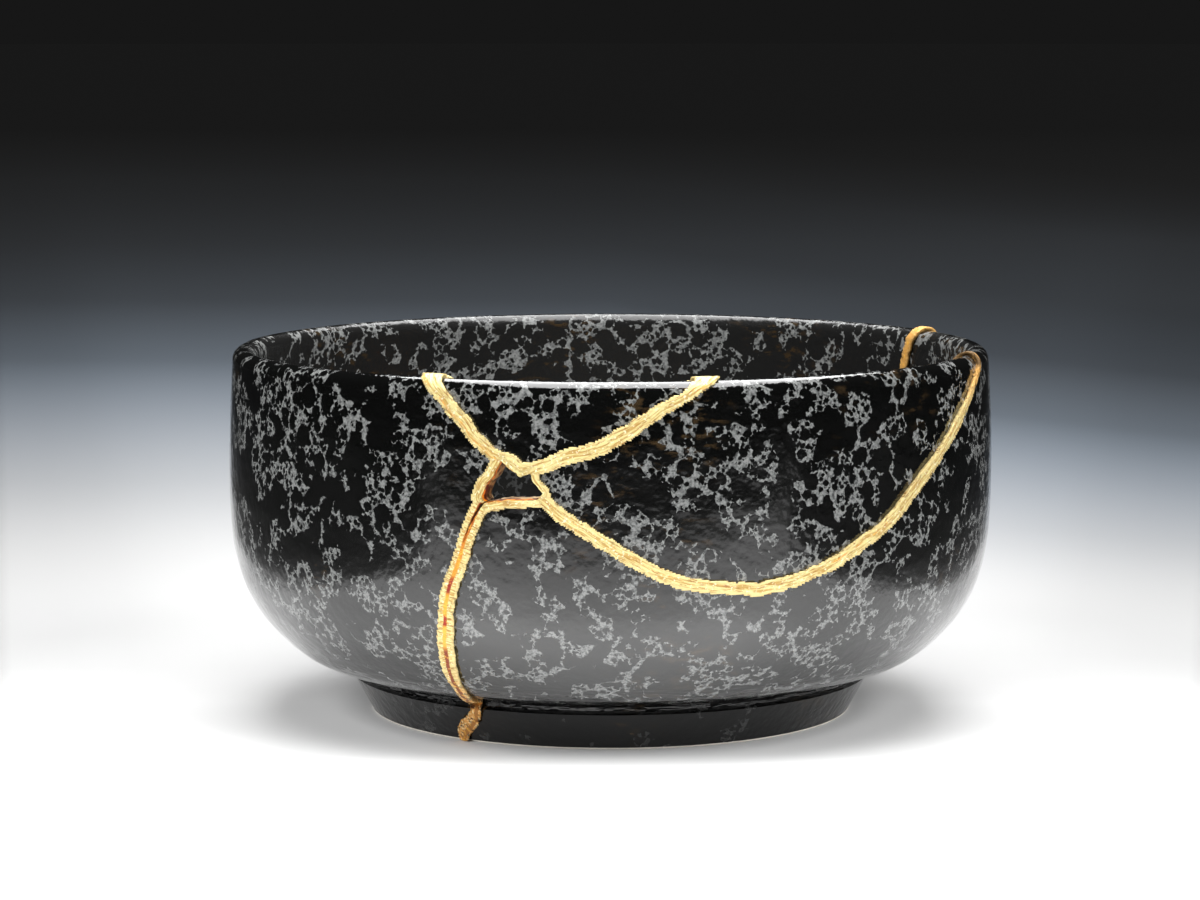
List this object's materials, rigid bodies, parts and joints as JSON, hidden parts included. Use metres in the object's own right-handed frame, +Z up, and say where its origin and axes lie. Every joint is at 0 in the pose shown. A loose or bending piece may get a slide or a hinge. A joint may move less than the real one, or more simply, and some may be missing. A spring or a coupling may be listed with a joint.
{
  "type": "kintsugi bowl",
  "caption": "Footed stoneware bowl with a mottled black glaze, broken and rejoined with raised gold lacquer seams, one chip missing from the wall.",
  "frame": {"origin": "centre of the foot ring, on the surface the bowl stands on", "axes": "+Z up; -Y is the front, where the cracks meet at the missing chip; +X is to the right seen from the front"},
  "size_m": [0.1798, 0.1805, 0.0869],
  "materials": {
    "glaze": "gloss black glaze with matt grey mottling",
    "gold_lacquer": "satin gold powder over brown-red lacquer"
  },
  "bodies": {
    "root": {"sherd_left_and_back": "glaze", "sherd_front_rim": "glaze", "sherd_front_right": "glaze", "sherd_lower_right": "glaze", "gold_lacquer_seam": "gold_lacquer"}
  },
  "joints": []
}
